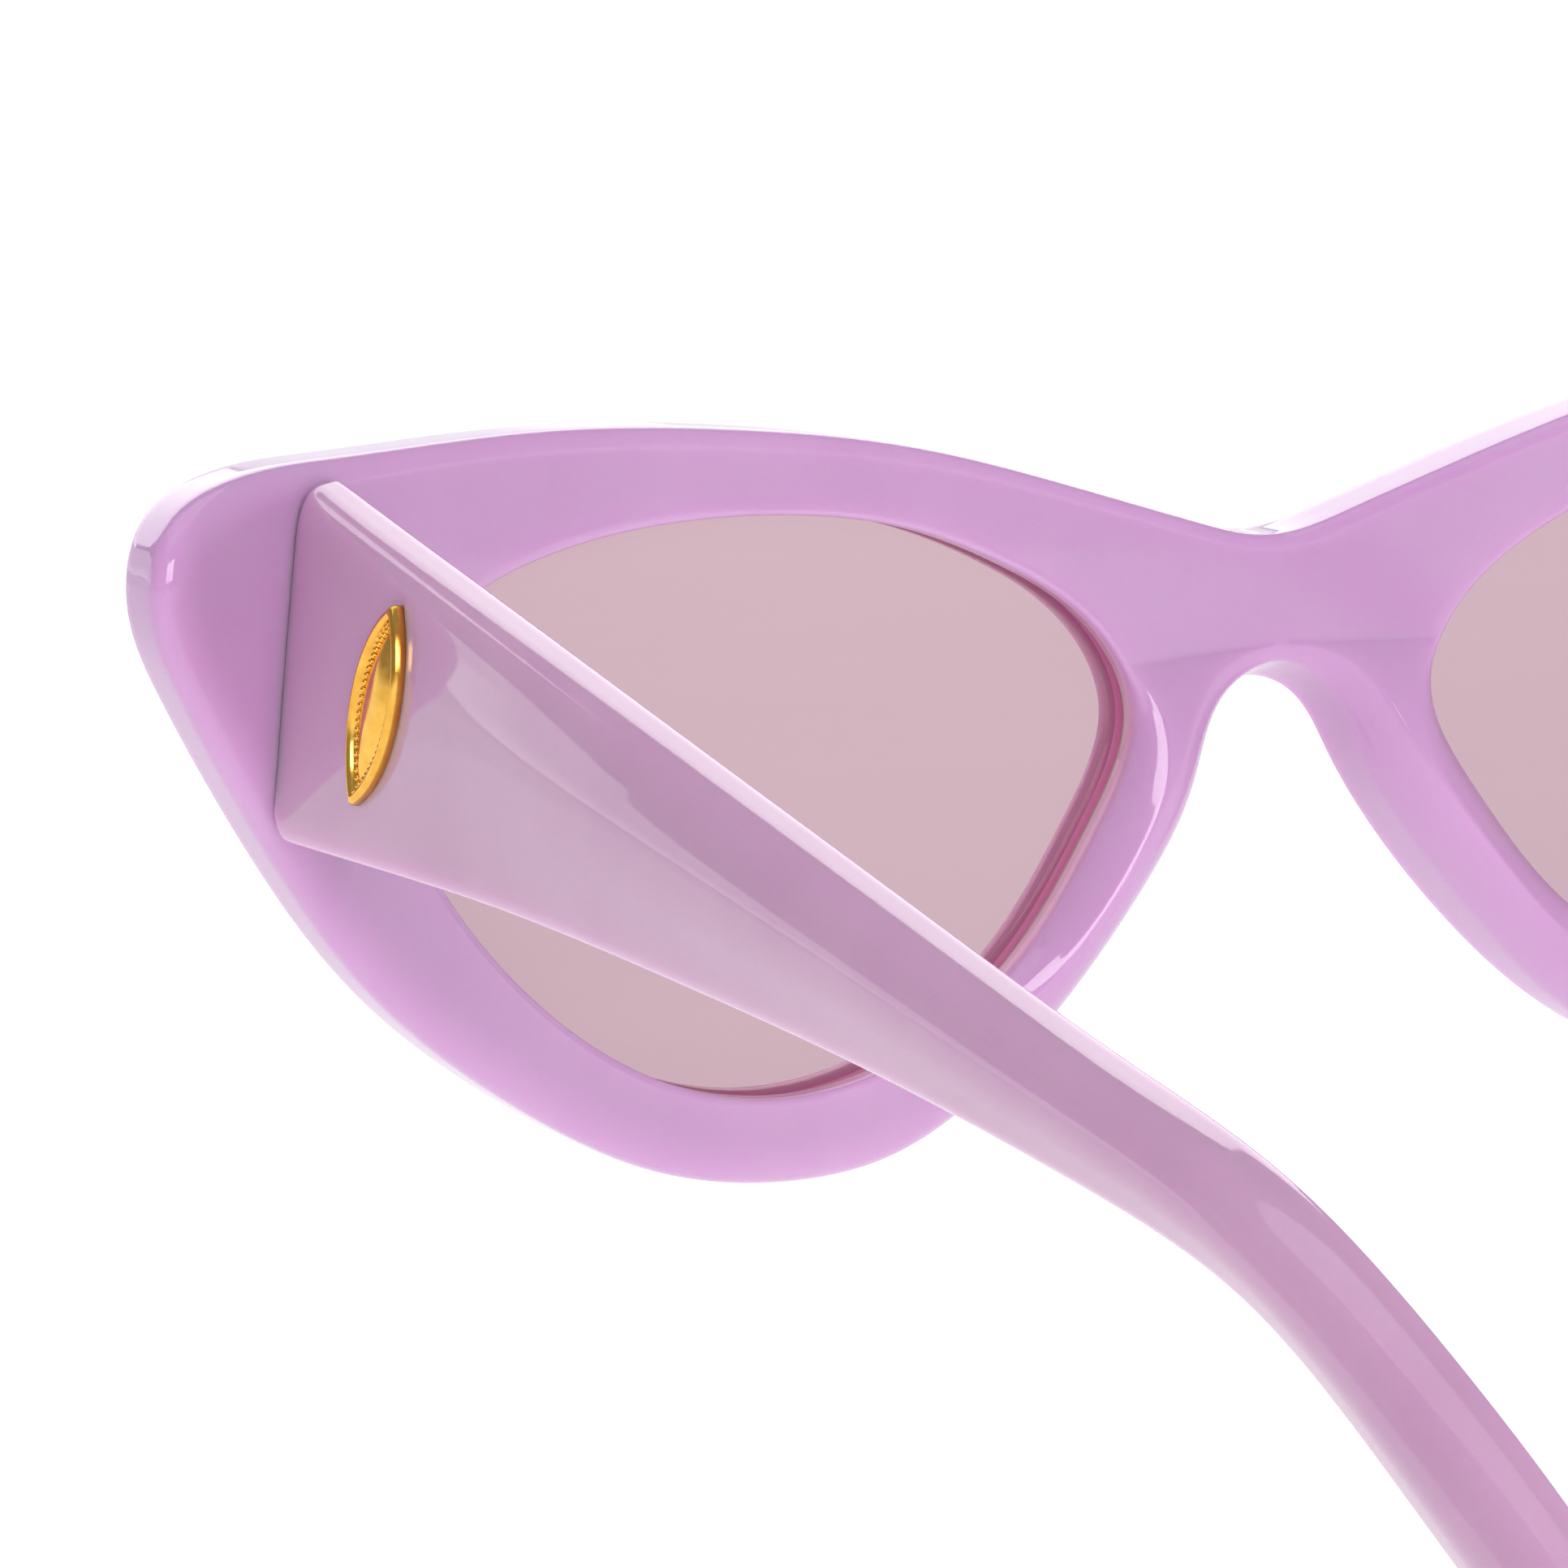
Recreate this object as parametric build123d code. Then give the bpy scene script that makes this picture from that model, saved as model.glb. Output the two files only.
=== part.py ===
from build123d import *
from math import asin, cos, radians, sin, sqrt
import os

# Cat eye sunglasses, open, in millimetres.
# The pieces are drawn in the front's own frame: X towards the wearer's left, Y back towards the
# ears, Z up, origin on the rear face of the front at the top centre of the bridge.
# They are placed at the end, so that the model stands on Z = 0 with its box centred on X and Y.

# ---- front ----
FRONT_RADIUS = 141.0          # wrap of the front, measured on its rear face
FRONT_THICKNESS = 5.0
REAR_EDGE_ROUND = 1.3
FRONT_EDGE_ROUND = 0.9
HALF_WIDTH = 75.0
PRISM_START = -20.0           # depth at which outlines are drawn, clear of the front
PRISM_LENGTH = 60.0
SHELL_HEIGHT = 120.0          # of the curved slabs that give the front its thickness
OUTLINE_SPANS = 14            # edges that each long curve is drawn with
LENS_SPANS = 8
NOSE_SPANS = 3

# Outline of the wearer's left half, seen along Y: from the top centre of the bridge, over the
# upswept end, under the rim and up the nose side to the arch. Points are (x, z).
FRONT_OUTLINE = [
    (0, 0), (5, 1.1), (12.2, 3.5), (22.5, 6.6), (34.4, 8.7), (48, 9.9), (61.5, 10.0), (69.5, 9.6),
    (74.0, 7.4), (HALF_WIDTH, 3.8), (73.1, -1.3), (68.5, -8.7), (61.0, -18.3), (50.5, -26.5),
    (41.5, -31.2), (33.0, -33.0), (25.0, -32.4), (17.6, -28.7), (12.2, -23.6), (7.9, -18.1),
    (4.9, -13.0), (2.8, -9.7), (0, -8.6),
]
# Space of the nose, same half: at the front face, and where it leaves the back of the pads.
NOSE_FRONT = [
    (0, -8.6), (2.8, -9.7), (4.9, -13.0), (7.9, -18.1), (12.2, -23.7), (16.6, -29.4), (20.5, -36.0),
]
NOSE_REAR = [
    (0, -6.4), (3.9, -7.4), (6.2, -13.0), (9.6, -19.0), (14.0, -23.8), (18.0, -28.6), (22.5, -36.0),
]
NOSE_SPLAY_DEPTH = 7.0        # depth over which the gap widens from one outline to the other
NOSE_CUT_DEPTH = 8.0          # how far the cutter reaches ahead of and behind the bridge
NOSE_CUT_FOOT = -40.0
NOSE_FOOT_SLOPE = -1.8        # of the cutter's outline where it leaves the rim

# ---- lenses ----
LENS_OUTLINE = [
    (9.4, -9.2), (11.2, -5.0), (17.3, -0.4), (23.5, 2.2), (31, 3.7), (40, 4.1), (49, 3.1),
    (56.3, -0.2), (59.2, -6.0), (56.6, -12.9), (50.5, -20.0), (42.0, -25.8), (33, -28.1),
    (24, -26.6), (16.9, -21.9), (11.9, -15.4),
]
LENS_THICKNESS = 1.6
LENS_INSET = 1.8              # from the rear face of the front to the rear of the lens
LENS_EDGE = 0.7               # how far the lens edge enters the groove
GROOVE_CLEARANCE = 0.04

# ---- nose pads ----
PAD_CENTRE = (10.2, -15.6)
PAD_LEAN = 34.0               # degrees from upright
PAD_HALF_SIZE = (5.2, 3.2, 10.0)   # across, back, along
PAD_ROOM = 20.0               # depth cleared ahead of the rear face

# ---- temples ----
BUTT_GAP = 0.15               # between the temple's end and the front when open
INNER_X = 62.4                # inner face of the temple
# Stations along the temple: (y, z) of the top edge, (y, z) of the bottom edge, then the x of the
# top outer edge, of the ridge and of the bottom outer edge, and the ridge's height as a fraction
# of the way from bottom to top.  The outer face is flat by the hinge and gains its ridge further
# back.
TEMPLE_STATIONS = [
    ((10, 10.3), (10, -9.1), 65.1, 66.6, 68.2, 0.50),
    ((20, 8.1), (20, -9.2), 65.3, 66.7, 67.9, 0.50),
    ((30, 6.05), (30, -9.35), 65.4, 66.6, 67.4, 0.50),
    ((42, 3.6), (42, -9.7), 65.4, 66.8, 66.7, 0.52),
    ((60, -0.1), (60, -10.75), 65.3, 67.0, 65.9, 0.56),
    ((82, -4.6), (81, -12.2), 65.2, 66.9, 65.4, 0.59),
    ((104, -8.95), (101, -14.2), 65.1, 66.7, 65.1, 0.60),
    ((119, -12.0), (115.2, -16.1), 65.0, 66.5, 64.9, 0.58),
    ((131, -16.6), (124.6, -19.3), 64.6, 66.0, 64.5, 0.56),
    ((139.5, -21.3), (132.2, -23.6), 64.0, 65.4, 63.9, 0.55),
    ((146, -25.4), (139, -28), 63.2, 64.6, 63.1, 0.54),
    ((150.2, -28.4), (144.6, -31.6), 62.5, 63.7, 62.4, 0.52),
    ((152, -31.2), (149.8, -33), 62.2, 62.4, 62.2, 0.50),
]
TIP_INSET = [0, 0, 0, 0, 0, 0, 0, 0.1, 0.4, 0.9, 1.6, 1.9, 1.2]   # inward curve of the inner face

# ---- temple core wire ----
WIRE_RADIUS = 0.6
WIRE_X = 64.2
WIRE_ROUTE = [(32, -1.8), (104, -11.8), (121, -15.2), (131, -19.6)]
WIRE_BEND_RADIUS = 30.0

# ---- hinge ----
HINGE_Z = 0.5
KNUCKLE_RADIUS = 1.2
KNUCKLE_HEIGHT = 1.5
KNUCKLE_GAP = 0.05
KNUCKLE_COUNT = 5
PIVOT_RADIUS = 0.55
PIVOT_CLEARANCE = 0.03
LEAF_THICKNESS = 0.9
LEAF_HEIGHT = 8.4
FRONT_LEAF_WIDTH = 6.0
TEMPLE_LEAF_LENGTH = 11.0
TEMPLE_LEAF_HEIGHT = 6.4
LEAF_CORNER = 1.0
LEAF_PROUD = 0.05             # of the face that the leaf is let into
FRONT_LEAF_X = 62.9           # middle of the front's leaf
NECK_HALF_WIDTH = 1.1
PIVOT_HEAD_RADIUS = 1.1
PIVOT_HEAD_HEIGHT = 0.5
FACE_TO_KNUCKLE = 0.1         # from the temple's inner face to the knuckles
AXIS_BEHIND_FACE = 1.7        # from the front's rear face to the hinge axis

# ---- fixing screws ----
SCREW_HEAD_RADIUS = 0.85
SCREW_HEAD_DEPTH = 0.45
SCREW_SHANK_RADIUS = 0.4
SCREW_LENGTH = 2.3
SLOT_WIDTH = 0.25
SLOT_DEPTH = 0.18
FRONT_SCREW_PLACES = [(1.4, -2.8), (1.4, 2.8)]      # on the leaf: along it, and across it
TEMPLE_SCREW_PLACES = [(-1.2, 0.0), (3.6, 0.0)]

# ---- emblem ----
EMBLEM_Y = 29.0
EMBLEM_Z = -1.0
EMBLEM_FACE_X = 66.55         # outer face of the temple under the emblem
FACE_TILT = 7.4               # degrees by which that face looks upwards
EMBLEM_LENGTH = 11.0
EMBLEM_WIDTH = 5.2
EMBLEM_LEAN = 18.0            # degrees from upright, top towards the back
EMBLEM_PROUD = 0.6
EMBLEM_SUNK = 0.3
EMBLEM_BEVEL = 0.4
EMBLEM_PIN_RADIUS = 0.4
EMBLEM_PIN_LENGTH = 1.0       # below the plaque
EMBLEM_PIN_SPACING = 5.0


def rear_y(x):
    """Depth of the front's rear face at x."""
    return FRONT_RADIUS - sqrt(FRONT_RADIUS**2 - x**2)


def at_depth(points, y):
    """Outline points (x, z) as 3-D points at depth y."""
    return [Vector(x, y, z) for x, z in points]


def split(curve, count):
    """One long curve as count edges, which keeps every wall of an extrusion short."""
    edge = curve.edge()
    return [edge.trim(i / count, (i + 1) / count) for i in range(count)]


def mirrored(shape):
    return mirror(shape, about=Plane.YZ)


def symmetric_face(edges):
    """A closed face from the edges of one half of an outline and their mirror images."""
    return make_face(edges + [mirrored(edge).edge() for edge in edges])


def prism(face):
    """A face drawn in front of the front, pushed back right through it."""
    return extrude(face, amount=PRISM_LENGTH, dir=(0, 1, 0))


def wrapped_slab(back, front):
    """The space between the surfaces that lie back and front millimetres ahead of the rear face."""
    outer = Cylinder(FRONT_RADIUS + front, SHELL_HEIGHT)
    inner = Cylinder(FRONT_RADIUS + back, 2 * SHELL_HEIGHT)
    return Pos(0, FRONT_RADIUS, 0) * (outer - inner)


def grown(points, amount):
    """A closed clockwise outline moved outwards by amount, point by point."""
    moved = []
    for before, (x, z), after in zip(points[-1:] + points[:-1], points, points[1:] + points[:1]):
        dx, dz = after[0] - before[0], after[1] - before[1]
        length = sqrt(dx**2 + dz**2)
        moved.append((x - amount * dz / length, z + amount * dx / length))
    return moved


def lens_prism(grow=0.0):
    """The wearer's left lens outline, grown by grow, pushed right through the front."""
    points = grown(LENS_OUTLINE, grow)
    outline = Spline(at_depth(points, PRISM_START), periodic=True)
    return prism(make_face(split(outline, LENS_SPANS)))


def nose_cutter():
    """The space of the nose, which widens towards the back."""

    def section(depth):
        share = (depth + FRONT_THICKNESS) / NOSE_SPLAY_DEPTH
        points = [
            (xf + (xr - xf) * share, zf + (zr - zf) * share)
            for (xf, zf), (xr, zr) in zip(NOSE_FRONT, NOSE_REAR)
        ]
        side = Spline(at_depth(points, depth), tangents=[(1, 0, 0), (1, 0, NOSE_FOOT_SLOPE)])
        foot = Vector(points[-1][0], depth, NOSE_CUT_FOOT)
        down = Line(side @ 1, foot)
        base = Line(foot, (0, depth, NOSE_CUT_FOOT))
        return symmetric_face(split(side, NOSE_SPANS) + [down.edge(), base.edge()])

    return loft([section(-NOSE_CUT_DEPTH), section(NOSE_CUT_DEPTH)], ruled=True)


def edges_on(shape, distance):
    """The outline edges of the front that lie on the surface distance ahead of the rear face."""
    near = 0.01 * FRONT_THICKNESS

    def gap(edge):
        middle = edge @ 0.5
        return abs(sqrt(middle.X**2 + (middle.Y - FRONT_RADIUS) ** 2) - FRONT_RADIUS - distance)

    return [edge for edge in shape.edges() if gap(edge) < near]


def make_front():
    half = Spline(at_depth(FRONT_OUTLINE, PRISM_START), tangents=[(1, 0, 0), (-1, 0, 0)])
    front = prism(symmetric_face(split(half, OUTLINE_SPANS))) & wrapped_slab(0.0, FRONT_THICKNESS)
    front = fillet(edges_on(front, 0.0), REAR_EDGE_ROUND)
    front = fillet(edges_on(front, FRONT_THICKNESS), FRONT_EDGE_ROUND)
    front -= nose_cutter()
    groove_front = LENS_INSET + LENS_THICKNESS + GROOVE_CLEARANCE
    groove_slab = wrapped_slab(LENS_INSET - GROOVE_CLEARANCE, groove_front)
    opening = lens_prism() + (lens_prism(LENS_EDGE + GROOVE_CLEARANCE) & groove_slab)
    return front - opening - mirrored(opening)


def make_lens():
    return lens_prism(LENS_EDGE) & wrapped_slab(LENS_INSET, LENS_INSET + LENS_THICKNESS)


def make_nose_pad():
    across, back, along = PAD_HALF_SIZE
    x, z = PAD_CENTRE
    dome = Pos(x, rear_y(x), z) * Rot(0, PAD_LEAN, 0) * scale(Sphere(1), by=(across, back, along))
    return dome - wrapped_slab(0, PAD_ROOM) - nose_cutter() - lens_prism()


# ---- making the temple ----
def temple_section(station, inner_x):
    (top_y, top_z), (low_y, low_z), top_x, ridge_x, low_x, ridge_share = station
    ridge_y = low_y + (top_y - low_y) * ridge_share
    ridge_z = low_z + (top_z - low_z) * ridge_share
    corners = [
        (inner_x, top_y, top_z),
        (top_x, top_y, top_z),
        (ridge_x, ridge_y, ridge_z),
        (low_x, low_y, low_z),
        (inner_x, low_y, low_z),
    ]
    return make_face(Polyline(corners, close=True))


def make_temple_blank():
    sections = [
        temple_section(station, INNER_X - inset) for station, inset in zip(TEMPLE_STATIONS, TIP_INSET)
    ]
    arm = loft(sections)
    return arm - wrapped_slab(-BUTT_GAP, PRISM_LENGTH)


def make_core_wire():
    route = FilletPolyline(*[(WIRE_X, y, z) for y, z in WIRE_ROUTE], radius=WIRE_BEND_RADIUS)
    return sweep(Plane(route @ 0, z_dir=route % 0) * Circle(WIRE_RADIUS), path=route)


# ---- making the hinge ----
AXIS_X = INNER_X - FACE_TO_KNUCKLE - KNUCKLE_RADIUS
AXIS_Y = rear_y(AXIS_X) + AXIS_BEHIND_FACE
KNUCKLE_PITCH = KNUCKLE_HEIGHT + KNUCKLE_GAP
STACK_HEIGHT = KNUCKLE_COUNT * KNUCKLE_PITCH - KNUCKLE_GAP
STACK_BOTTOM = HINGE_Z - STACK_HEIGHT / 2


def front_leaf_plane():
    """Top of the leaf in the front, under the temple's end, with local Z pointing back."""
    lean = asin(FRONT_LEAF_X / FRONT_RADIUS)
    on_face = Vector(FRONT_LEAF_X, rear_y(FRONT_LEAF_X), HINGE_Z)
    back = Vector(-sin(lean), cos(lean), 0)
    return Plane(on_face + back * LEAF_PROUD, x_dir=(cos(lean), sin(lean), 0), z_dir=back)


def temple_leaf_plane():
    """Top of the leaf in the temple, with local X pointing back and local Z towards the head."""
    origin = (INNER_X - LEAF_PROUD, AXIS_Y + TEMPLE_LEAF_LENGTH / 2, HINGE_Z)
    return Plane(origin, x_dir=(0, 1, 0), z_dir=(-1, 0, 0))


def plate(plane, length, height, above=0.0):
    """A round-cornered leaf whose top lies in the plane, or above it by above."""
    thickness = LEAF_THICKNESS + above
    body = Box(length, height, thickness)
    body = fillet(body.edges().filter_by(Axis.Z), LEAF_CORNER)
    return plane * Pos(0, 0, above - thickness / 2) * body


def knuckle(level, bore_radius, neck):
    """One barrel of the stack, with the neck that joins it to its leaf."""
    height = STACK_BOTTOM + level * KNUCKLE_PITCH + KNUCKLE_HEIGHT / 2
    barrel = Pos(AXIS_X, AXIS_Y, height) * Cylinder(KNUCKLE_RADIUS, KNUCKLE_HEIGHT)
    bore = Pos(AXIS_X, AXIS_Y, height) * Cylinder(bore_radius, KNUCKLE_HEIGHT * 2)
    (x0, y0), (x1, y1) = neck
    arm = Pos((x0 + x1) / 2, (y0 + y1) / 2, height) * Box(x1 - x0, y1 - y0, KNUCKLE_HEIGHT)
    return barrel + arm - bore


def make_fixing_screws(plane, places, slotted=True):
    """Countersunk screws let into a leaf, heads level with it."""
    screws = []
    for x, y in places:
        cone = Cone(SCREW_SHANK_RADIUS, SCREW_HEAD_RADIUS, SCREW_HEAD_DEPTH)
        head = Pos(0, 0, -SCREW_HEAD_DEPTH / 2) * cone
        shank = Pos(0, 0, -SCREW_LENGTH / 2) * Cylinder(SCREW_SHANK_RADIUS, SCREW_LENGTH)
        screw = head + shank
        if slotted:
            screw -= Box(4 * SCREW_HEAD_RADIUS, SLOT_WIDTH, 2 * SLOT_DEPTH)
        screws.append(plane * Pos(x, y, 0) * screw)
    return screws


def make_front_leaf():
    leaf = plate(front_leaf_plane(), FRONT_LEAF_WIDTH, LEAF_HEIGHT)
    reach = rear_y(AXIS_X) - LEAF_THICKNESS / 2
    neck = ((AXIS_X - NECK_HALF_WIDTH, reach), (AXIS_X + NECK_HALF_WIDTH, AXIS_Y))
    for level in range(0, KNUCKLE_COUNT, 2):
        bore = PIVOT_RADIUS if level == 0 else PIVOT_RADIUS + PIVOT_CLEARANCE
        leaf += knuckle(level, bore, neck)
    return leaf


def make_temple_leaf():
    leaf = plate(temple_leaf_plane(), TEMPLE_LEAF_LENGTH, TEMPLE_LEAF_HEIGHT)
    neck = ((AXIS_X, AXIS_Y), (INNER_X + LEAF_THICKNESS / 2, AXIS_Y + KNUCKLE_RADIUS))
    for level in range(1, KNUCKLE_COUNT, 2):
        leaf += knuckle(level, PIVOT_RADIUS + PIVOT_CLEARANCE, neck)
    return leaf


def make_hinge_screw():
    top = STACK_BOTTOM + STACK_HEIGHT
    shaft = Pos(0, 0, (STACK_BOTTOM + top) / 2) * Cylinder(PIVOT_RADIUS, STACK_HEIGHT)
    head = Pos(0, 0, top + PIVOT_HEAD_HEIGHT / 2) * Cylinder(PIVOT_HEAD_RADIUS, PIVOT_HEAD_HEIGHT)
    slot = Pos(0, 0, top + PIVOT_HEAD_HEIGHT) * Box(4 * PIVOT_HEAD_RADIUS, SLOT_WIDTH, 2 * SLOT_DEPTH)
    return Pos(AXIS_X, AXIS_Y, 0) * (shaft + head - slot)


# ---- making the emblem ----
def make_emblem():
    """A pointed oval plaque with a bevelled edge and two pins, on the temple's outer face."""
    tilt = radians(FACE_TILT)
    lean = radians(EMBLEM_LEAN)
    normal = Vector(cos(tilt), 0, sin(tilt))
    up = Vector(-sin(tilt), 0, cos(tilt))
    along = up * cos(lean) + Vector(0, 1, 0) * sin(lean)
    face = Plane((EMBLEM_FACE_X, EMBLEM_Y, EMBLEM_Z), x_dir=along, z_dir=normal)
    tip = EMBLEM_LENGTH / 2
    side = ThreePointArc((-tip, 0), (0, EMBLEM_WIDTH / 2), (tip, 0))
    outline = make_face([side.edge(), mirror(side, about=Plane.XZ).edge()])
    plaque = extrude(Pos(0, 0, -EMBLEM_SUNK) * outline, EMBLEM_SUNK + EMBLEM_PROUD, dir=(0, 0, 1))
    plaque = chamfer(plaque.faces().sort_by(Axis.Z)[-1].edges(), EMBLEM_BEVEL)
    for side_sign in (-1, 1):
        place = Pos(side_sign * EMBLEM_PIN_SPACING / 2, 0, -EMBLEM_SUNK - EMBLEM_PIN_LENGTH / 2)
        plaque += place * Cylinder(EMBLEM_PIN_RADIUS, EMBLEM_PIN_LENGTH)
    return face * plaque


# ---- assembly of the wearer's left half ----
front_plane = front_leaf_plane()
temple_plane = temple_leaf_plane()
front_cuts = make_fixing_screws(front_plane, FRONT_SCREW_PLACES, slotted=False)
temple_cuts = make_fixing_screws(temple_plane, TEMPLE_SCREW_PLACES, slotted=False)
core_wire = make_core_wire()
emblem = make_emblem()

front_leaf = make_front_leaf() - front_cuts
temple_leaf = make_temple_leaf() - temple_cuts
front_pocket = plate(front_plane, FRONT_LEAF_WIDTH, LEAF_HEIGHT, above=LEAF_THICKNESS)
temple_pocket = plate(temple_plane, TEMPLE_LEAF_LENGTH, TEMPLE_LEAF_HEIGHT, above=LEAF_THICKNESS)

front = make_front()
for cut in [front_pocket] + front_cuts:
    front = front - cut - mirrored(cut)
temple = make_temple_blank() - temple_pocket - temple_cuts - core_wire - emblem

left_half = {
    "lens": make_lens(),
    "nose_pad": make_nose_pad(),
    "front_hinge_leaf": front_leaf,
    "front_hinge_fixing_screws": Compound(make_fixing_screws(front_plane, FRONT_SCREW_PLACES)),
    "hinge_screw": make_hinge_screw(),
    "temple": temple,
    "temple_core_wire": core_wire,
    "temple_hinge_leaf": temple_leaf,
    "temple_hinge_fixing_screws": Compound(make_fixing_screws(temple_plane, TEMPLE_SCREW_PLACES)),
    "emblem": emblem,
}
nodes = {"front_frame": front}
for name, shape in left_half.items():
    nodes[name + "_left"] = shape
    nodes[name + "_right"] = mirrored(shape)

# ---- placing and writing ----
box = Compound([solid for shape in nodes.values() for solid in shape.solids()]).bounding_box()
place = Pos(0, -box.center().Y, -box.min.Z)
os.makedirs("parts", exist_ok=True)
for name, shape in nodes.items():
    solids = [place * solid for solid in shape.solids()]
    placed = solids[0] if len(solids) == 1 else Compound(solids)
    export_step(placed, f"parts/{name}.step")
axis_point = place * Pos(AXIS_X, AXIS_Y, HINGE_Z)
print("hinge axis of the left temple passes", axis_point.position)
print("bridge top at the rear face", place.position)
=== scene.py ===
import math

import bpy
import numpy as np
from mathutils import Matrix, Vector


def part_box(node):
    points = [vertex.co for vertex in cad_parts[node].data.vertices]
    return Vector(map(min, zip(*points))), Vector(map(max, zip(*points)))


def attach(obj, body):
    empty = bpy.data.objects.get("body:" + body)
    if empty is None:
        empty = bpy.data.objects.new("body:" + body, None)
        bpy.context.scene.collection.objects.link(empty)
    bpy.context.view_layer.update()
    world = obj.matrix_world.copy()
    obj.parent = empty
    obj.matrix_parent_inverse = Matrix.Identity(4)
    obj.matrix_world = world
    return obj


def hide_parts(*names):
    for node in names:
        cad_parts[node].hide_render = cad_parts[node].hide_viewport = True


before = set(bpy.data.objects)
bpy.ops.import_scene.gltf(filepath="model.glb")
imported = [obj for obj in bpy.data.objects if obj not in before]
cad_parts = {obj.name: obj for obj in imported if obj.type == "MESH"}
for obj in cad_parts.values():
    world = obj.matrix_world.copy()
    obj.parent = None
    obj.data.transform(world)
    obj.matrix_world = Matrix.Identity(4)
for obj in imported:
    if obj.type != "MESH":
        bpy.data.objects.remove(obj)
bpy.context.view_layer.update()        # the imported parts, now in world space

# ---- Front ----
# The front is one piece of milky lilac cellulose acetate, milled from 5 mm sheet, bent to the wrap
# of the face and tumbled until every edge is round. Its nose pads are built up on the back of the
# rims and blended in, so they are one surface with it.
MM = 0.001
WRAP_RADIUS = 141.0           # of the rear face
SHEET = 5.0
BRIDGE_HEIGHT = 33.09         # top of the bridge above the lowest point of the rims
# Wearer's left half in the bridge's own frame, in millimetres: x and z of the outline at the front
# face, how far the point moves by the time the nose gap has widened towards the back, how far the
# rear edge's rounding reaches in, and how high the nose pad stands.
OUTLINE = [
    (0, 0, 0, 0, 0.8, 0), (5, 1.1, 0, 0, 0.8, 0), (12.2, 3.5, 0, 0, 0.8, 0),
    (22.5, 6.6, 0, 0, 0.9, 0), (34.4, 8.7, 0, 0, 1.0, 0), (48, 9.9, 0, 0, 1.1, 0),
    (61.5, 10.0, 0, 0, 1.4, 0), (69.5, 9.6, 0, 0, 2.0, 0), (74.0, 7.4, 0, 0, 2.4, 0),
    (75, 3.8, 0, 0, 2.5, 0), (73.1, -1.3, 0, 0, 2.5, 0), (68.5, -8.7, 0, 0, 2.5, 0),
    (61.0, -18.3, 0, 0, 2.4, 0), (50.5, -26.5, 0, 0, 2.3, 0), (41.5, -31.2, 0, 0, 2.2, 0),
    (33.0, -33.0, 0, 0, 2.2, 0), (25.0, -32.4, 0, 0, 2.3, 0.05), (17.6, -28.7, 0.3, 0.2, 2.6, 0.6),
    (12.2, -23.6, 0.8, 0.0, 2.3, 1.6), (7.9, -18.1, 0.8, -0.3, 2.3, 2.1),
    (4.9, -13.0, 0.6, 0.2, 2.1, 1.5), (2.8, -9.7, 0.6, 1.7, 1.3, 0.35), (0, -8.6, 0, 2.2, 0.8, 0),
]
SPLAY_DEPTH = 7.0             # depth over which the nose gap widens by that much
SPLAY_LIMIT = 1.15            # largest share of that widening, on the pads behind the rim
LENS_OUTLINE = [
    (9.4, -9.2), (11.2, -5.0), (17.3, -0.4), (23.5, 2.2), (31, 3.7), (40, 4.1), (49, 3.1),
    (56.3, -0.2), (59.2, -6.0), (56.6, -12.9), (50.5, -20.0), (42.0, -25.8), (33, -28.1),
    (24, -26.6), (16.9, -21.9), (11.9, -15.4),
]
REAR_ROUND_DOWN = 0.85        # how far the rear rounding goes down the wall, as a share of its reach
FRONT_ROUND = (0.8, 0.7)      # rounding of the front edge, in and down
LENS_EDGE_ROUND = 0.35        # rounding of the lens openings
LENS_WALL_HOLD = 0.3          # below it, a row that keeps the opening's wall straight
PAD_LENS_ROUND = 0.5          # added to the rear one per millimetre of pad height
PAD_CREST = 0.5               # place of the pad's crest across the rim, from the nose edge
PAD_AT_NOSE = 0.55            # its height at the nose edge and at the lens, of its full height
PAD_AT_LENS = 0.75
PAD_SMOOTHING = 40            # passes that blend the pad into the rim
GROOVE_TOP = 1.58             # of the lens groove, ahead of the rear face
GROOVE_END = 3.45
GROOVE_DEPTH = 0.75
CORNER = 0.02                 # spacing of the two rows that hold a crisp corner
MERGE = 0.001                 # points closer than this become one
OUTLINE_COLUMNS = 300         # around the outline of one half
BRIDGE_COLUMNS = 12           # on the line where the halves meet
LENS_STEPS = 3000             # places on a lens outline that a column can lead to
AIM_SMOOTHING = 12            # passes that even out those places
ARCH_LIFT = 7.0               # how much higher the columns at the nose arch aim on the lens
ARCH_REACH = 5.0              # how far around the arch that goes
# Rows of points from the front edge, up the wall and across the back, and then, past the lens
# opening's groove, out and across the front.
FRONT_EDGE_ROWS = 7
WALL_ROWS = 4
REAR_EDGE_ROWS = 10
REAR_FACE_ROWS = 20
REAR_LENS_ROWS = 8
FRONT_LENS_ROWS = 5
FRONT_FACE_ROWS = 14

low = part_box("front_frame")[0]
bridge = np.array([0.0, low.y + SHEET * MM, low.z + BRIDGE_HEIGHT * MM])


def face_y(x, ahead=0.0):
    """Depth at x of the wrapped surface that lies ahead millimetres in front of the rear face."""
    return WRAP_RADIUS - np.sqrt((WRAP_RADIUS + ahead) ** 2 - x**2)


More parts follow.
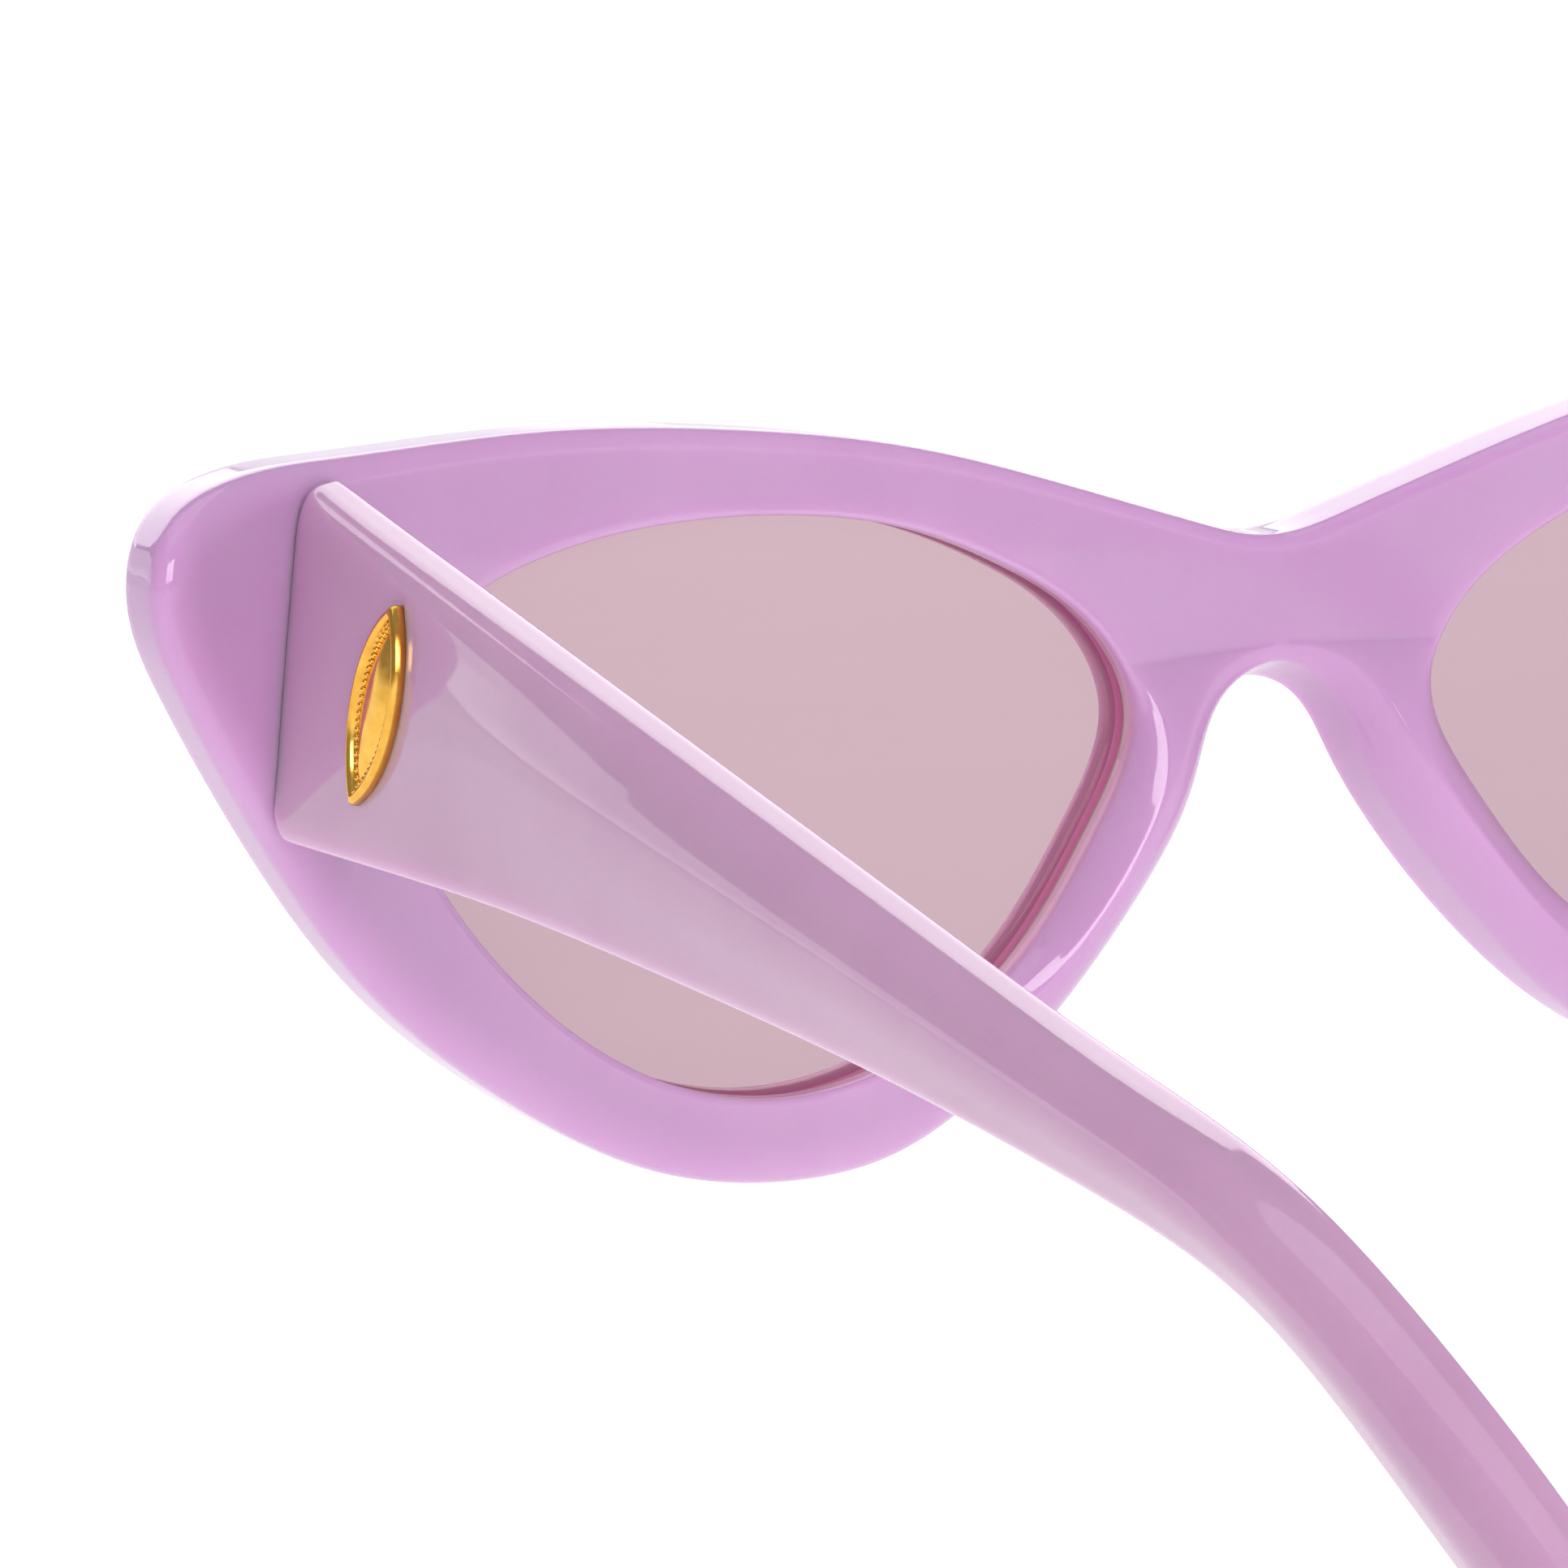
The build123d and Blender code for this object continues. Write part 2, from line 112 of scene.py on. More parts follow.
def smooth_line(points, closed=False, start=None, end=None, samples=80):
    """A dense line along the smooth curve through points, measured on their first two numbers."""
    p = np.array(points, float)
    if closed:
        p = np.vstack([p, p[:1]])
    gap = np.linalg.norm(np.diff(p[:, :2], axis=0), axis=1)
    slope = np.diff(p, axis=0) / gap[:, None]
    last = len(p) - 1
    matrix = np.zeros((last + 1, last + 1))
    right = np.zeros_like(p)
    for i in range(1, last):
        matrix[i, i - 1 : i + 2] = gap[i], 2 * (gap[i - 1] + gap[i]), gap[i - 1]
        right[i] = 3 * (gap[i] * slope[i - 1] + gap[i - 1] * slope[i])
    if closed:
        matrix[0, [0, 1, last - 1]] = 2 * (gap[0] + gap[-1]), gap[-1], gap[0]
        right[0] = 3 * (gap[0] * slope[-1] + gap[-1] * slope[0])
        matrix[last, [0, last]] = -1, 1
    else:
        for row, beside, tangent, steep in ((0, 1, start, slope[0]), (last, last - 1, end, slope[-1])):
            matrix[row, row] = 2 if tangent is None else 1
            matrix[row, beside] = 1 if tangent is None else 0
            right[row] = 3 * steep if tangent is None else tangent
    speed = np.linalg.solve(matrix, right)
    t = np.linspace(0, 1, samples, endpoint=False)[:, None]
    spans = [
        (1 + 2 * t) * (1 - t) ** 2 * p[i]
        + t * (1 - t) ** 2 * gap[i] * speed[i]
        + t**2 * (3 - 2 * t) * p[i + 1]
        - t**2 * (1 - t) * gap[i] * speed[i + 1]
        for i in range(last)
    ]
    return np.vstack(spans + [p[-1:]])


def at_shares(line, shares):
    """Points of a dense line at shares of its length."""
    run = np.concatenate([[0], np.cumsum(np.linalg.norm(np.diff(line[:, :2], axis=0), axis=1))])
    return np.stack([np.interp(shares * run[-1], run, column) for column in line.T], axis=1)


def right_of(line, closed=False):
    """Unit vectors in the plane, square to the line, on its right hand."""
    if closed:
        tangent = np.roll(line, -1, axis=0) - np.roll(line, 1, axis=0)
    else:
        tangent = np.gradient(line, axis=0)
    side = np.stack([tangent[:, 1], -tangent[:, 0]], axis=1)
    return side / np.linalg.norm(side, axis=1)[:, None]


def quarter_round(steps):
    """Shares (in, down) of a rounded edge, from the wall to the face, without the last."""
    turns = np.linspace(0, math.pi / 2, steps, endpoint=False)
    return [(1 - math.cos(turn), 1 - math.sin(turn)) for turn in turns]


def solid_points(plane_points, y):
    """Points in space, from points (x, z) and their depths."""
    return np.stack([plane_points[:, 0], y, plane_points[:, 1]], axis=1)


# The outline's columns come first, and then those of the line where the halves meet.
outline = at_shares(
    smooth_line(OUTLINE, start=(1, 0, 0, 0, 0, 0), end=(-1, 0, 0, 0, 0, 0)),
    np.linspace(0, 1, OUTLINE_COLUMNS),
)
outline_side = right_of(outline[:, :2])
outline_side[0] = 0, -1
outline_side[-1] = 0, 1


def outline_point(inset, y):
    """The outline at depth y, moved in by inset."""
    share = np.clip((y + SHEET) / SPLAY_DEPTH, 0, SPLAY_LIMIT)
    moved = outline[:, :2] + outline[:, 2:4] * share[:, None] + outline_side * inset
    moved[[0, -1], 0] = 0
    return moved


def meeting_line(edge_points):
    """Columns on the line x = 0, from the last of the outline's columns up to the first."""
    shares = np.linspace(0, 1, BRIDGE_COLUMNS + 2)[1:-1, None]
    return edge_points[-1] + (edge_points[0] - edge_points[-1]) * shares


lens_line = smooth_line(LENS_OUTLINE, closed=True)
dense_lens = at_shares(lens_line, np.linspace(0, 1, LENS_STEPS))
outer = np.vstack([outline[:, :2], meeting_line(outline[:, :2])])
from_arch = np.linalg.norm(outer - outline[-1, :2], axis=1)
aim = outer.copy()
aim[:, 1] += ARCH_LIFT * np.exp(-((from_arch / ARCH_REACH) ** 2))
nearest = np.argmin(np.linalg.norm(aim[:, None] - dense_lens[None], axis=2), axis=1)
columns = len(outer)
even = np.arange(columns) / columns
drift = np.unwrap(nearest / (LENS_STEPS - 1), period=1) - even
for _ in range(AIM_SMOOTHING):
    drift = (np.roll(drift, 1) + drift + np.roll(drift, -1)) / 3
lens = at_shares(lens_line, (drift + even) % 1)
lens_out = -right_of(lens, closed=True)

pad = np.append(np.clip(outline[:, 5], 0, None), np.zeros(BRIDGE_COLUMNS))


def swelling(across):
    """Height of the pad, across from 0 at the nose edge to 1 at the lens."""
    near = 1 - (1 - PAD_AT_NOSE) * (1 - across / PAD_CREST) ** 2
    far = 1 - (1 - PAD_AT_LENS) * ((across - PAD_CREST) / (1 - PAD_CREST)) ** 2
    return np.where(across < PAD_CREST, near, far)


rim_width = np.linalg.norm(outer - lens, axis=1)
edge_y = face_y(outline[:, 0])
pad_edge = pad[:OUTLINE_COLUMNS]
rear_in = outline[:, 4]
rear_down = rear_in * REAR_ROUND_DOWN


def rear_edge_row(share_in, share_down):
    """A row of the rear edge's rounding, at shares of how far it reaches in and down."""
    inset = rear_in * share_in
    height = pad_edge * swelling(inset / rim_width[:OUTLINE_COLUMNS]) - rear_down * share_down
    at = outline_point(inset[:, None], edge_y + height)
    return solid_points(at, face_y(at[:, 0]) + height)


def front_edge_row(share_in, share_down):
    """The same on the front edge."""
    height = FRONT_ROUND[1] * share_down
    at = outline_point(FRONT_ROUND[0] * share_in, edge_y - SHEET + height)
    return solid_points(at, face_y(at[:, 0], SHEET) + height)


rear_rows = [rear_edge_row(*shares) for shares in quarter_round(REAR_EDGE_ROWS)]
front_rows = [front_edge_row(*shares) for shares in quarter_round(FRONT_EDGE_ROWS)]
wall_rows = [
    front_rows[0] + (rear_rows[0] - front_rows[0]) * share
    for share in np.linspace(0, 1, WALL_ROWS + 2)[1:-1]
]
edge_strip = front_rows[::-1] + wall_rows + rear_rows

# Across the back from the outline to the lens, through the opening and groove, and across the front.
rear_start = rear_edge_row(1.0, 0.0)[:, [0, 2]]
rear_start = np.vstack([rear_start, meeting_line(rear_start)])
front_start = front_edge_row(1.0, 0.0)[:, [0, 2]]
front_start = np.vstack([front_start, meeting_line(front_start)])
lens_round = (LENS_EDGE_ROUND + PAD_LENS_ROUND * pad)[:, None]
lens_rear = lens + lens_out * lens_round
lens_front = lens + lens_out * LENS_EDGE_ROUND
start_across = np.append(rear_in, np.zeros(BRIDGE_COLUMNS)) / rim_width

ring = []
for share in np.linspace(0, 1, REAR_FACE_ROWS):
    at = rear_start + (lens_rear - rear_start) * share
    across = start_across + (1 - start_across) * share
    ring.append(solid_points(at, face_y(at[:, 0]) + pad * swelling(across)))
lens_top = face_y(lens[:, 0]) + pad * PAD_AT_LENS
for share_in, share_down in quarter_round(REAR_LENS_ROWS)[::-1]:
    at = lens + lens_out * lens_round * share_in
    ring.append(solid_points(at, lens_top - lens_round[:, 0] * share_down))
pad_rows = np.array(ring)
blend = np.clip(pad, 0, 1)[None, :, None] / 4
for _ in range(PAD_SMOOTHING):
    pad_rows[1:-1] += blend * (pad_rows[:-2] - 2 * pad_rows[1:-1] + pad_rows[2:])
ring = list(pad_rows)
opening_start = len(ring)
groove_floor = lens + lens_out * GROOVE_DEPTH
for at, ahead in (
    (lens, GROOVE_TOP - CORNER),
    (lens + lens_out * CORNER, GROOVE_TOP),
    (groove_floor, GROOVE_TOP),
    (groove_floor, GROOVE_END),
    (lens + lens_out * CORNER, GROOVE_END),
    (lens, GROOVE_END + CORNER),
    (lens, SHEET - LENS_EDGE_ROUND - LENS_WALL_HOLD),
):
    ring.append(solid_points(at, face_y(lens[:, 0], ahead)))
for share_in, share_down in quarter_round(FRONT_LENS_ROWS):
    at = lens + lens_out * LENS_EDGE_ROUND * share_in
    ring.append(solid_points(at, face_y(lens[:, 0], SHEET) + LENS_EDGE_ROUND * share_down))
opening_end = len(ring)
for share in np.linspace(0, 1, FRONT_FACE_ROWS):
    at = lens_front + (front_start - lens_front) * share
    ring.append(solid_points(at, face_y(at[:, 0], SHEET)))


def grid_faces(first, rows, width, closed):
    """Faces between rows of width points, numbered from first, one row after another."""
    faces = []
    for row in range(rows - 1):
        for column in range(width if closed else width - 1):
            a = first + row * width + column
            b = first + row * width + (column + 1) % width
            faces.append((a, b, b + width, a + width))
    return faces


def make_mesh(name, points, faces, material, marks=None):
    """A smooth closed mesh from points in the bridge's frame, in millimetres, with marks on them."""
    mesh = bpy.data.meshes.new(name)
    mesh.from_pydata((np.asarray(points) * MM + bridge).tolist(), [], faces)
    if marks is not None:
        mesh.attributes.new("edge_mark", "FLOAT", "POINT").data.foreach_set("value", marks)
    solid = bpy.data.objects.new(name, mesh)
    bpy.context.scene.collection.objects.link(solid)
    bpy.context.view_layer.objects.active = solid
    bpy.ops.object.select_all(action="DESELECT")
    solid.select_set(True)
    bpy.ops.object.mode_set(mode="EDIT")
    bpy.ops.mesh.select_all(action="SELECT")
    bpy.ops.mesh.remove_doubles(threshold=MERGE * MM)
    bpy.ops.mesh.normals_make_consistent(inside=False)
    bpy.ops.object.mode_set(mode="OBJECT")
    mesh.shade_smooth()
    mesh.materials.append(material)
    return solid


def mirrored(points):
    """The same points on the wearer's right."""
    return np.asarray(points) * (-1, 1, 1)


def new_material(name, **values):
    """A node material and its Principled node, with values set on that node's own sockets."""
    material = bpy.data.materials.new(name)
    material.use_nodes = True
    shader = material.node_tree.nodes["Principled BSDF"]
    for socket, value in values.items():
        shader.inputs[socket.replace("_", " ")].default_value = value
    return material, shader


def add_node(material, kind, **values):
    """A new node in the material, with values set on its own sockets."""
    node = material.node_tree.nodes.new(kind)
    for socket, value in values.items():
        node.inputs[socket.replace("_", " ")].default_value = value
    return node


def add_noise(material, scale, detail=2.0, stretch=(1, 1, 1)):
    """A noise on object coordinates, its size set by scale, in features per metre."""
    links = material.node_tree.links
    place = add_node(material, "ShaderNodeTexCoord")
    mapping = add_node(material, "ShaderNodeMapping", Scale=stretch)
    noise = add_node(material, "ShaderNodeTexNoise", Scale=scale, Detail=detail)
    links.new(place.outputs["Object"], mapping.inputs["Vector"])
    links.new(mapping.outputs["Vector"], noise.inputs["Vector"])
    return noise.outputs["Fac"]


def add_range(material, value, low_value, high_value):
    """value, from 0.3 to 0.7 as noise mostly is, spread from low_value to high_value."""
    span = add_node(material, "ShaderNodeMapRange")
    span.inputs["From Min"].default_value = 0.3
    span.inputs["From Max"].default_value = 0.7
    span.inputs["To Min"].default_value = low_value
    span.inputs["To Max"].default_value = high_value
    material.node_tree.links.new(value, span.inputs["Value"])
    return span.outputs["Result"]


def add_bump(material, shader, height, distance, strength):
    """Relief from height, distance metres deep."""
    bump = add_node(material, "ShaderNodeBump", Strength=strength, Distance=distance)
    material.node_tree.links.new(height, bump.inputs["Height"])
    material.node_tree.links.new(bump.outputs["Normal"], shader.inputs["Normal"])


def add_colours(material, shader, value, *stops, marked=None):
    """Base colour from value, through (place, colour) stops, and marked where edge_mark is 1."""
    ramp = add_node(material, "ShaderNodeValToRGB")
    ramp.color_ramp.elements.remove(ramp.color_ramp.elements[0])
    ramp.color_ramp.elements[0].position, ramp.color_ramp.elements[0].color = stops[0]
    for position, colour in stops[1:]:
        ramp.color_ramp.elements.new(position).color = colour
    links = material.node_tree.links
    links.new(value, ramp.inputs["Fac"])
    shown = ramp.outputs["Color"]
    if marked:
        mark = add_node(material, "ShaderNodeAttribute")
        mark.attribute_name = "edge_mark"
        mix = add_node(material, "ShaderNodeMix")
        mix.data_type = "RGBA"
        mix.inputs[7].default_value = marked
        links.new(mark.outputs["Fac"], mix.inputs["Factor"])
        links.new(shown, mix.inputs[6])
        shown = mix.outputs[2]
    links.new(shown, shader.inputs["Base Color"])


def milky_acetate(name, deep, pale, marked=None):
    """Acetate: light sinks in, spreads for a few millimetres and comes out pinker. The tumbled
    surface is glossy, with a faint orange peel and cloudy drifts from a deep colour to a pale one."""
    acetate, shader = new_material(
        name, Subsurface_Weight=1.0, Subsurface_Scale=0.0025, IOR=1.49,
        Subsurface_Radius=(1.0, 0.45, 0.9),
    )
    drifts = add_noise(acetate, 45.0, 3.0, (1, 1.6, 1))
    add_colours(acetate, shader, drifts, (0.3, deep), (0.7, pale), marked=marked)
    links = acetate.node_tree.links
    links.new(add_range(acetate, add_noise(acetate, 260.0), 0.035, 0.075), shader.inputs["Roughness"])
    add_bump(acetate, shader, add_noise(acetate, 420.0), 0.00002, 0.25)
    return acetate


# Its third colour is painted light: the walls of the lens openings get a brighter, pinker colour, a
# painted glow that stands in for light reaching them through the tinted lenses and the acetate.
acetate = milky_acetate(
    "milky_lilac_acetate", (0.60, 0.35, 0.595, 1), (0.64, 0.395, 0.635, 1), (0.97, 0.60, 0.76, 1)
)
half_points = np.vstack(ring + edge_strip)
ring_size = len(ring) * columns
edge_size = len(edge_strip) * OUTLINE_COLUMNS
half_faces = grid_faces(0, len(ring), columns, closed=True)
half_faces += grid_faces(ring_size, len(edge_strip), OUTLINE_COLUMNS, closed=False)
last_ring = (len(ring) - 1) * columns
last_edge = ring_size + (len(edge_strip) - 1) * OUTLINE_COLUMNS
for i in range(OUTLINE_COLUMNS - 1):
    half_faces.append((last_ring + i, last_ring + i + 1, ring_size + i + 1, ring_size + i))
    half_faces.append((last_edge + i, last_edge + i + 1, i + 1, i))
# The lens openings' walls, from the groove to the front, are the rows that take the painted glow
# colour.
painted_glow_rows = np.zeros(len(ring))
painted_glow_rows[opening_start:opening_end] = 1
painted_glow_marks = np.append(np.repeat(painted_glow_rows, columns), np.zeros(edge_size))
both_points = np.vstack([half_points, mirrored(half_points)])
both_faces = half_faces + [tuple(len(half_points) + v for v in face) for face in half_faces]
front = make_mesh("front", both_points, both_faces, acetate, np.tile(painted_glow_marks, 2))
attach(front, "front")
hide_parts("front_frame", "nose_pad_left", "nose_pad_right")

# ---- Lenses ----
# Each lens is a mauve-tinted sheet cut to shape, 1.6 mm thick, curved like the front. Its bevelled
# edge snaps into the groove from the front while the acetate is warm.
LENS_FACES = (1.8, 3.4)       # ahead of the front's rear face
LENS_GROWTH = 0.66            # of the lens past the opening, into the groove
LENS_BEVEL = 0.25
LENS_COLUMNS = 240
# Rows of each face, as shares of the way from its middle to its edge. The last holds the corner.
LENS_SHARES = np.append(np.linspace(0.05, 0.97, 26), 0.999)

tint, shader = new_material("mauve_lens", Roughness=0.03, IOR=1.45)
add_colours(
    tint, shader, add_noise(tint, 12.0),
    (0.3, (0.745, 0.628, 0.668, 1)), (0.7, (0.755, 0.638, 0.677, 1)), marked=(1, 1, 1, 1),
)
links = tint.node_tree.links
dyed = add_node(tint, "ShaderNodeBsdfTransparent")
links.new(shader.inputs["Base Color"].links[0].from_socket, dyed.inputs["Color"])
mirror_share = add_node(tint, "ShaderNodeFresnel", IOR=1.35)
both = add_node(tint, "ShaderNodeMixShader")
links.new(mirror_share.outputs["Fac"], both.inputs[0])
links.new(dyed.outputs["BSDF"], both.inputs[1])
links.new(shader.outputs["BSDF"], both.inputs[2])
links.new(both.outputs["Shader"], tint.node_tree.nodes["Material Output"].inputs["Surface"])

lens_edge = at_shares(lens_line, np.linspace(0, 1, LENS_COLUMNS, endpoint=False))
lens_edge_out = -right_of(lens_edge, closed=True)
lens_middle = lens_edge.mean(axis=0)
lens_rows = []


def add_lens_row(growth, ahead, share=1.0):
    """A row around the lens, grown past the opening, at a share of the way from the middle."""
    at = lens_middle + (lens_edge + lens_edge_out * growth - lens_middle) * share
    lens_rows.append(solid_points(at, face_y(at[:, 0], ahead)))


face_growth = LENS_GROWTH - LENS_BEVEL
for share in LENS_SHARES:
    add_lens_row(face_growth, LENS_FACES[0], share)
add_lens_row(face_growth, LENS_FACES[0])
add_lens_row(LENS_GROWTH, LENS_FACES[0] + LENS_BEVEL)
add_lens_row(LENS_GROWTH, LENS_FACES[1] - LENS_BEVEL)
add_lens_row(face_growth, LENS_FACES[1])
for share in LENS_SHARES[::-1]:
    add_lens_row(face_growth, LENS_FACES[1], share)


def closed_tube(rows):
    """Points and faces of rows that join up around, with both ends closed by a fan."""
    width = len(rows[0])
    points = np.vstack(list(rows) + [rows[0].mean(axis=0), rows[-1].mean(axis=0)])
    faces = grid_faces(0, len(rows), width, closed=True)
    start, end = len(points) - 2, len(points) - 1
    last_row = (len(rows) - 1) * width
    for i in range(width):
        after = (i + 1) % width
        faces.append((start, after, i))
        faces.append((end, last_row + i, last_row + after))
    return points, faces


lens_points, lens_faces = closed_tube(lens_rows)
edge_start = len(LENS_SHARES) * LENS_COLUMNS
edge_end = (len(lens_rows) - len(LENS_SHARES)) * LENS_COLUMNS
lens_marks = np.zeros(len(lens_points))
lens_marks[edge_start:edge_end] = 1
for side, points in (("left", lens_points), ("right", mirrored(lens_points))):
    pane = make_mesh(f"tinted_lens_{side}", points, lens_faces, tint, lens_marks)
    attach(pane, "front")
    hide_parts(f"lens_{side}")

# ---- Temples ----
# Each temple is milled from the same acetate: deep and flat-faced at the hinge, where the emblem
# is set, then tapering with a soft ridge along its outer face to a slim tip bent behind the ear.
BUTT_GAP = 0.01               # between the temple's end and the front when open
INNER_X = 62.4                # of the inner face
# Stations along the left temple: y and z of the top edge, y and z of the bottom edge, the x of the
# top outer edge, of the ridge and of the bottom outer edge, the ridge's height as a share of the
# way from bottom to top, and how far the inner face curves in.
TEMPLE_STATIONS = [
    (10, 10.3, 10, -9.1, 65.1, 66.6, 68.2, 0.50, 0),
    (20, 8.1, 20, -9.2, 65.3, 66.7, 67.9, 0.50, 0),
    (30, 6.05, 30, -9.35, 65.4, 66.6, 67.4, 0.50, 0),
    (42, 3.6, 42, -9.7, 65.4, 66.8, 66.7, 0.52, 0),
    (60, -0.1, 60, -10.75, 65.3, 67.0, 65.9, 0.56, 0),
    (82, -4.6, 81, -12.2, 65.2, 66.9, 65.4, 0.59, 0),
    (104, -8.95, 101, -14.2, 65.1, 66.7, 65.1, 0.60, 0),
    (119, -12.2, 115.2, -16.4, 65.0, 66.5, 64.9, 0.58, 0.1),
    (131, -17.3, 124.6, -20.1, 64.6, 66.0, 64.5, 0.56, 0.4),
    (139.5, -22.2, 132.2, -24.7, 64.0, 65.4, 63.9, 0.55, 0.9),
    (146, -26.2, 139, -28.9, 63.2, 64.6, 63.1, 0.54, 1.6),
    (150.2, -28.4, 144.6, -31.6, 62.5, 63.7, 62.4, 0.52, 1.9),
    (152, -31.2, 149.8, -33.0, 62.2, 62.4, 62.2, 0.50, 1.2),
]
# Rounding of the section's corners: inner top, outer top, ridge, outer bottom, inner bottom.
CORNER_ROUNDS = (0.8, 2.2, 5.0, 1.0, 0.7)
ROUND_LIMIT = 0.42            # largest share of a side that a rounding takes
CORNER_STEPS = (8, 8, 14, 8, 8)         # points on each corner
SIDE_STEPS = (4, 6, 6, 4, 12)           # and on the side that follows it
STATION_COUNT = 240
BUTT_DEPTH = 16.0             # of the front's rear face where the temples meet it
BUTT_SHARES = np.linspace(0.85, 0.1, 6)     # how far the rows across the butt are drawn in
BUTT_ROUND_X = 0.04
BUTT_ROUND_Z = 1.0
BUTT_ROWS = 14                # on that rounding, and as many again up to BUTT_END
BUTT_END = 24.0               # depth by which the sections no longer follow the front's curve
BUTT_CLEAR = 0.3              # least distance from there to the next section
TIP_ROUND = 2.0
TIP_LEAST = 0.02              # share of the section that the tip's last row keeps


def section_line(corners):
    """A closed section with rounded corners, for many stations at once."""
    line = []
    count = len(corners)
    starts, ends = [], []
    for i in range(count):
        before, corner, after = corners[i - 1], corners[i], corners[(i + 1) % count]
        for points, other in ((starts, before), (ends, after)):
            way = other - corner
            length = np.linalg.norm(way, axis=1)[:, None]
            points.append(corner + way / length * np.minimum(CORNER_ROUNDS[i], ROUND_LIMIT * length))
    for i in range(count):
        for t in np.linspace(0, 1, CORNER_STEPS[i]):
            line.append(
                (1 - t) ** 2 * starts[i] + 2 * t * (1 - t) * corners[i] + t**2 * ends[i]
            )
        following = starts[(i + 1) % count]
        for t in np.linspace(0, 1, SIDE_STEPS[i] + 1, endpoint=False)[1:]:
            line.append(ends[i] + (following - ends[i]) * t)
    return np.stack(line, axis=1)


stations = at_shares(smooth_line(TEMPLE_STATIONS), np.linspace(0, 1, STATION_COUNT))
top_y, top_z, low_y, low_z, top_x, ridge_x, low_x, ridge_share, tip_inset = stations.T
inner_x = INNER_X - tip_inset
ridge_y = low_y + (top_y - low_y) * ridge_share
ridge_z = low_z + (top_z - low_z) * ridge_share
arm = section_line([
    np.stack([inner_x, top_y, top_z], axis=1),
    np.stack([top_x, top_y, top_z], axis=1),
    np.stack([ridge_x, ridge_y, ridge_z], axis=1),
    np.stack([low_x, low_y, low_z], axis=1),
    np.stack([inner_x, low_y, low_z], axis=1),
])


def arm_at(depth):
    """The arm's section where each of its long lines reaches its own depth."""
    lines = arm.transpose(1, 2, 0)
    x = np.array([np.interp(y, line[1], line[0]) for y, line in zip(depth, lines)])
    z = np.array([np.interp(y, line[1], line[2]) for y, line in zip(depth, lines)])
    return np.stack([x, depth, z], axis=1)


def pulled_in(section, share_x, share_z):
    """A section drawn in towards its middle, by a share across and a share in height."""
    middle = (section.min(axis=0) + section.max(axis=0)) / 2
    return middle + (section - middle) * (1 - share_x, 1, 1 - share_z)


def edge_pull(distance, radius):
    """How far a rounded edge lies in, at a distance from the end it rounds."""
    left = np.clip(radius - distance, 0, radius)
    return radius - math.sqrt(radius**2 - left**2)


butt_x = arm_at(np.full(arm.shape[1], BUTT_DEPTH))[:, 0]
butt_y = face_y(butt_x) + BUTT_GAP
butt_size = np.ptp(arm_at(butt_y), axis=0) / 2
temple_rows = []
for share in BUTT_SHARES:
    drawn = pulled_in(arm_at(butt_y), share, share)
    drawn[:, 1] = face_y(drawn[:, 0]) + BUTT_GAP
    temple_rows.append(drawn)
for share in 1 - np.cos(np.linspace(0, math.pi / 2, BUTT_ROWS)):
    distance = share * BUTT_ROUND_Z
    section = arm_at(butt_y + distance)
    share_x = edge_pull(distance, BUTT_ROUND_X) / butt_size[0]
    share_z = edge_pull(distance, BUTT_ROUND_Z) / butt_size[2]
    temple_rows.append(pulled_in(section, share_x, share_z))
butt_inner = butt_y + BUTT_ROUND_Z
for share in np.linspace(0, 1, BUTT_ROWS)[1:]:
    temple_rows.append(arm_at(butt_inner + (BUTT_END - butt_inner) * share))
run = np.concatenate([[0], np.cumsum(np.linalg.norm(np.diff(stations[:, :2], axis=0), axis=1))])
for i in range(STATION_COUNT):
    if arm[i, 0, 1] > BUTT_END + BUTT_CLEAR:
        left = min(1.0, (run[-1] - run[i]) / TIP_ROUND)
        kept = max(TIP_LEAST, math.sqrt(1 - (1 - left) ** 2))
        middle = (arm[i].min(axis=0) + arm[i].max(axis=0)) / 2
        temple_rows.append(middle + (arm[i] - middle) * kept)

# The temples take a copy of the front's acetate with less blue in it: painted warm light, standing in
# for the warmer light that falls on the temples.
temple_acetate = milky_acetate(
    "lilac_acetate_painted_warm_light", (0.60, 0.355, 0.535, 1), (0.64, 0.40, 0.575, 1)
)
temple_points, temple_faces = closed_tube(temple_rows)
for side, points in (("left", temple_points), ("right", mirrored(temple_points))):
    temple = make_mesh(f"temple_arm_{side}", points, temple_faces, temple_acetate)
    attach(temple, f"temple_{side}")
    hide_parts(f"temple_{side}")

# ---- Emblems ----
# A small plaque of gilt brass is set into the outer face of each temple by two pins. It is a plain
# pointed oval with a rolled border, a row of beads and a crowned, polished field.
EMBLEM_PLACE = (66.55, 29.0, -1.0)
EMBLEM_TILT = math.radians(7.4)        # upwards, like the temple's outer face
EMBLEM_LEAN = math.radians(18.0)       # of its upper end towards the tip
EMBLEM_HALF = (5.5, 2.6)      # length and width
# Its profile: in from the outline, and out from the temple's face.
EMBLEM_PROFILE = [
    (0, -0.3), (0, 0.24), (0.02, 0.33), (0.07, 0.45), (0.15, 0.53), (0.26, 0.56), (0.37, 0.53),
    (0.45, 0.45), (0.5, 0.33), (0.53, 0.2), (0.56, 0.17), (1.04, 0.17), (1.1, 0.19), (1.16, 0.24),
    (1.28, 0.3), (1.45, 0.37), (1.7, 0.45), (1.95, 0.51), (2.25, 0.555), (2.5, 0.575),
]
BEAD_TRACK = (0.8, 0.17)      # in from the outline, and out from the temple's face
BEAD_RADIUS = 0.17
BEAD_SPACING = 0.42
OVAL_STEPS = 72

arc_radius = (EMBLEM_HALF[0] ** 2 + EMBLEM_HALF[1] ** 2) / (2 * EMBLEM_HALF[1])
arc_centre = arc_radius - EMBLEM_HALF[1]


